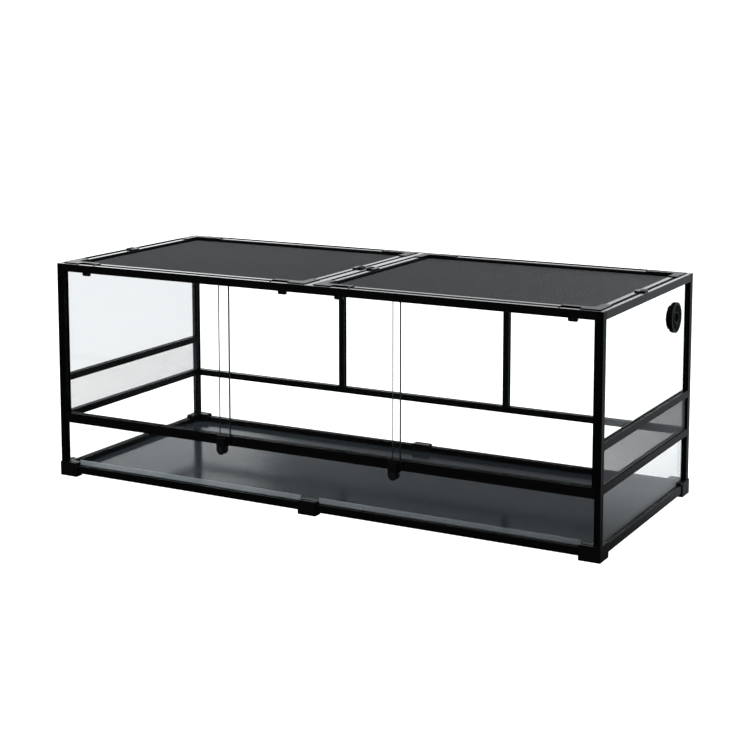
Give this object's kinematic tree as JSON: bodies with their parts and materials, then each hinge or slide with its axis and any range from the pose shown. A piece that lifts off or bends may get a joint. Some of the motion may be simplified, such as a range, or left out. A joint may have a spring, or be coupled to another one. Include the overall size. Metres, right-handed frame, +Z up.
{
  "type": "reptile terrarium",
  "caption": "Long glass terrarium on a slotted black frame, with sliding front doors, lift-off mesh lids, side vents and a cable port.",
  "frame": {"origin": "middle of the footprint, on the floor", "axes": "+X along the front from left to right, +Y from the front to the back, +Z up"},
  "size_m": [1.2052, 0.5135, 0.4536],
  "materials": {
    "frame_profile": "smooth near-black extruded profile with a soft gloss",
    "foot_plastic": "moulded, satin near-black",
    "floor_panel": "smooth dark grey panel",
    "clear_strip": "clear plastic strip, treated as glass",
    "pane_glass": "clear float glass with green edges",
    "door_glass": "clear float glass with ground green edges",
    "vent_mesh": "fine woven stainless mesh",
    "lid_mesh": "fine woven wire, black coated",
    "lid_plastic": "smooth near-black rails and corners",
    "latch_plastic": "moulded, near-black, ribbed grip",
    "port_plastic": "moulded, satin near-black",
    "lock_housing": "moulded, satin near-black",
    "lock_plug": "black-finished metal key plug"
  },
  "bodies": {
    "root": {"foot_front_left": "foot_plastic", "foot_front_right": "foot_plastic", "foot_back_left": "foot_plastic", "foot_back_right": "foot_plastic", "base_rail_front_left": "frame_profile", "base_rail_front_right": "frame_profile", "base_rail_back_left": "frame_profile", "base_rail_back_right": "frame_profile", "base_rail_left": "frame_profile", "base_rail_right": "frame_profile", "base_connectors": "foot_plastic", "floor_panel": "floor_panel", "front_strip": "clear_strip", "post_front_left": "frame_profile", "post_front_right": "frame_profile", "post_back_left": "frame_profile", "post_back_right": "frame_profile", "top_rail_front": "frame_profile", "top_rail_back": "frame_profile", "top_rail_left": "frame_profile", "top_rail_right": "frame_profile", "lid_bar": "frame_profile", "door_sill": "frame_profile", "back_mid_rail": "frame_profile", "back_mullions": "frame_profile", "side_low_rail_left": "frame_profile", "side_low_rail_right": "frame_profile", "side_vent_rail_left": "frame_profile", "side_vent_rail_right": "frame_profile", "glass_front_low": "pane_glass", "glass_back_low": "pane_glass", "glass_back_left": "pane_glass", "glass_back_middle": "pane_glass", "glass_back_right": "pane_glass", "glass_left_low": "pane_glass", "glass_right_low": "pane_glass", "glass_left_top": "pane_glass", "glass_right_top": "pane_glass", "vent_left": "vent_mesh", "vent_right": "vent_mesh", "port_flange": "port_plastic", "port_nut": "port_plastic", "lock_left": "lock_housing", "lock_right": "lock_housing"},
    "door_left": {"door_left": "door_glass"},
    "door_middle": {"door_middle": "door_glass"},
    "door_right": {"door_right": "door_glass"},
    "plug_left": {"lock_plug_left": "lock_plug"},
    "plug_right": {"lock_plug_right": "lock_plug"},
    "port_cap": {"port_cap": "port_plastic"},
    "lid_left": {"lid_left_rails": "lid_plastic", "lid_left_corners": "lid_plastic", "lid_left_mesh": "lid_mesh"},
    "lid_right": {"lid_right_rails": "lid_plastic", "lid_right_corners": "lid_plastic", "lid_right_mesh": "lid_mesh"},
    "latch_left_outer": {"lid_left_outer_latch": "latch_plastic"},
    "latch_left_inner": {"lid_left_inner_latch": "latch_plastic"},
    "latch_right_inner": {"lid_right_inner_latch": "latch_plastic"},
    "latch_right_outer": {"lid_right_outer_latch": "latch_plastic"}
  },
  "joints": [
    {"name": "door_left_slide", "type": "slide", "parent": "root", "child": "door_left", "axis": [1, 0, 0], "range_m": [0, 0.355]},
    {"name": "door_middle_slide", "type": "slide", "parent": "root", "child": "door_middle", "axis": [1, 0, 0], "range_m": [-0.38, 0.38]},
    {"name": "door_right_slide", "type": "slide", "parent": "root", "child": "door_right", "axis": [1, 0, 0], "range_m": [-0.355, 0]},
    {"name": "plug_left_turn", "type": "hinge", "parent": "root", "child": "plug_left", "pos_m": [-0.192, -0.256, 0.107], "axis": [0, 1, 0], "range_deg": [0, 90]},
    {"name": "plug_right_turn", "type": "hinge", "parent": "root", "child": "plug_right", "pos_m": [0.192, -0.256, 0.107], "axis": [0, 1, 0], "range_deg": [0, 90]},
    {"name": "port_cap_turn", "type": "hinge", "parent": "root", "child": "port_cap", "pos_m": [0.6, 0.143, 0.377], "axis": [1, 0, 0], "range_deg": [0, 60]},
    {"name": "lid_left_lift", "type": "slide", "parent": "root", "child": "lid_left", "axis": [0, 0, 1], "range_m": [0, 0.06]},
    {"name": "lid_right_lift", "type": "slide", "parent": "root", "child": "lid_right", "axis": [0, 0, 1], "range_m": [0, 0.06]},
    {"name": "latch_left_outer_slide", "type": "slide", "parent": "lid_left", "child": "latch_left_outer", "axis": [-1, 0, 0], "range_m": [0, 0.005]},
    {"name": "latch_left_inner_slide", "type": "slide", "parent": "lid_left", "child": "latch_left_inner", "axis": [1, 0, 0], "range_m": [0, 0.005]},
    {"name": "latch_right_inner_slide", "type": "slide", "parent": "lid_right", "child": "latch_right_inner", "axis": [-1, 0, 0], "range_m": [0, 0.005]},
    {"name": "latch_right_outer_slide", "type": "slide", "parent": "lid_right", "child": "latch_right_outer", "axis": [1, 0, 0], "range_m": [0, 0.005]}
  ]
}
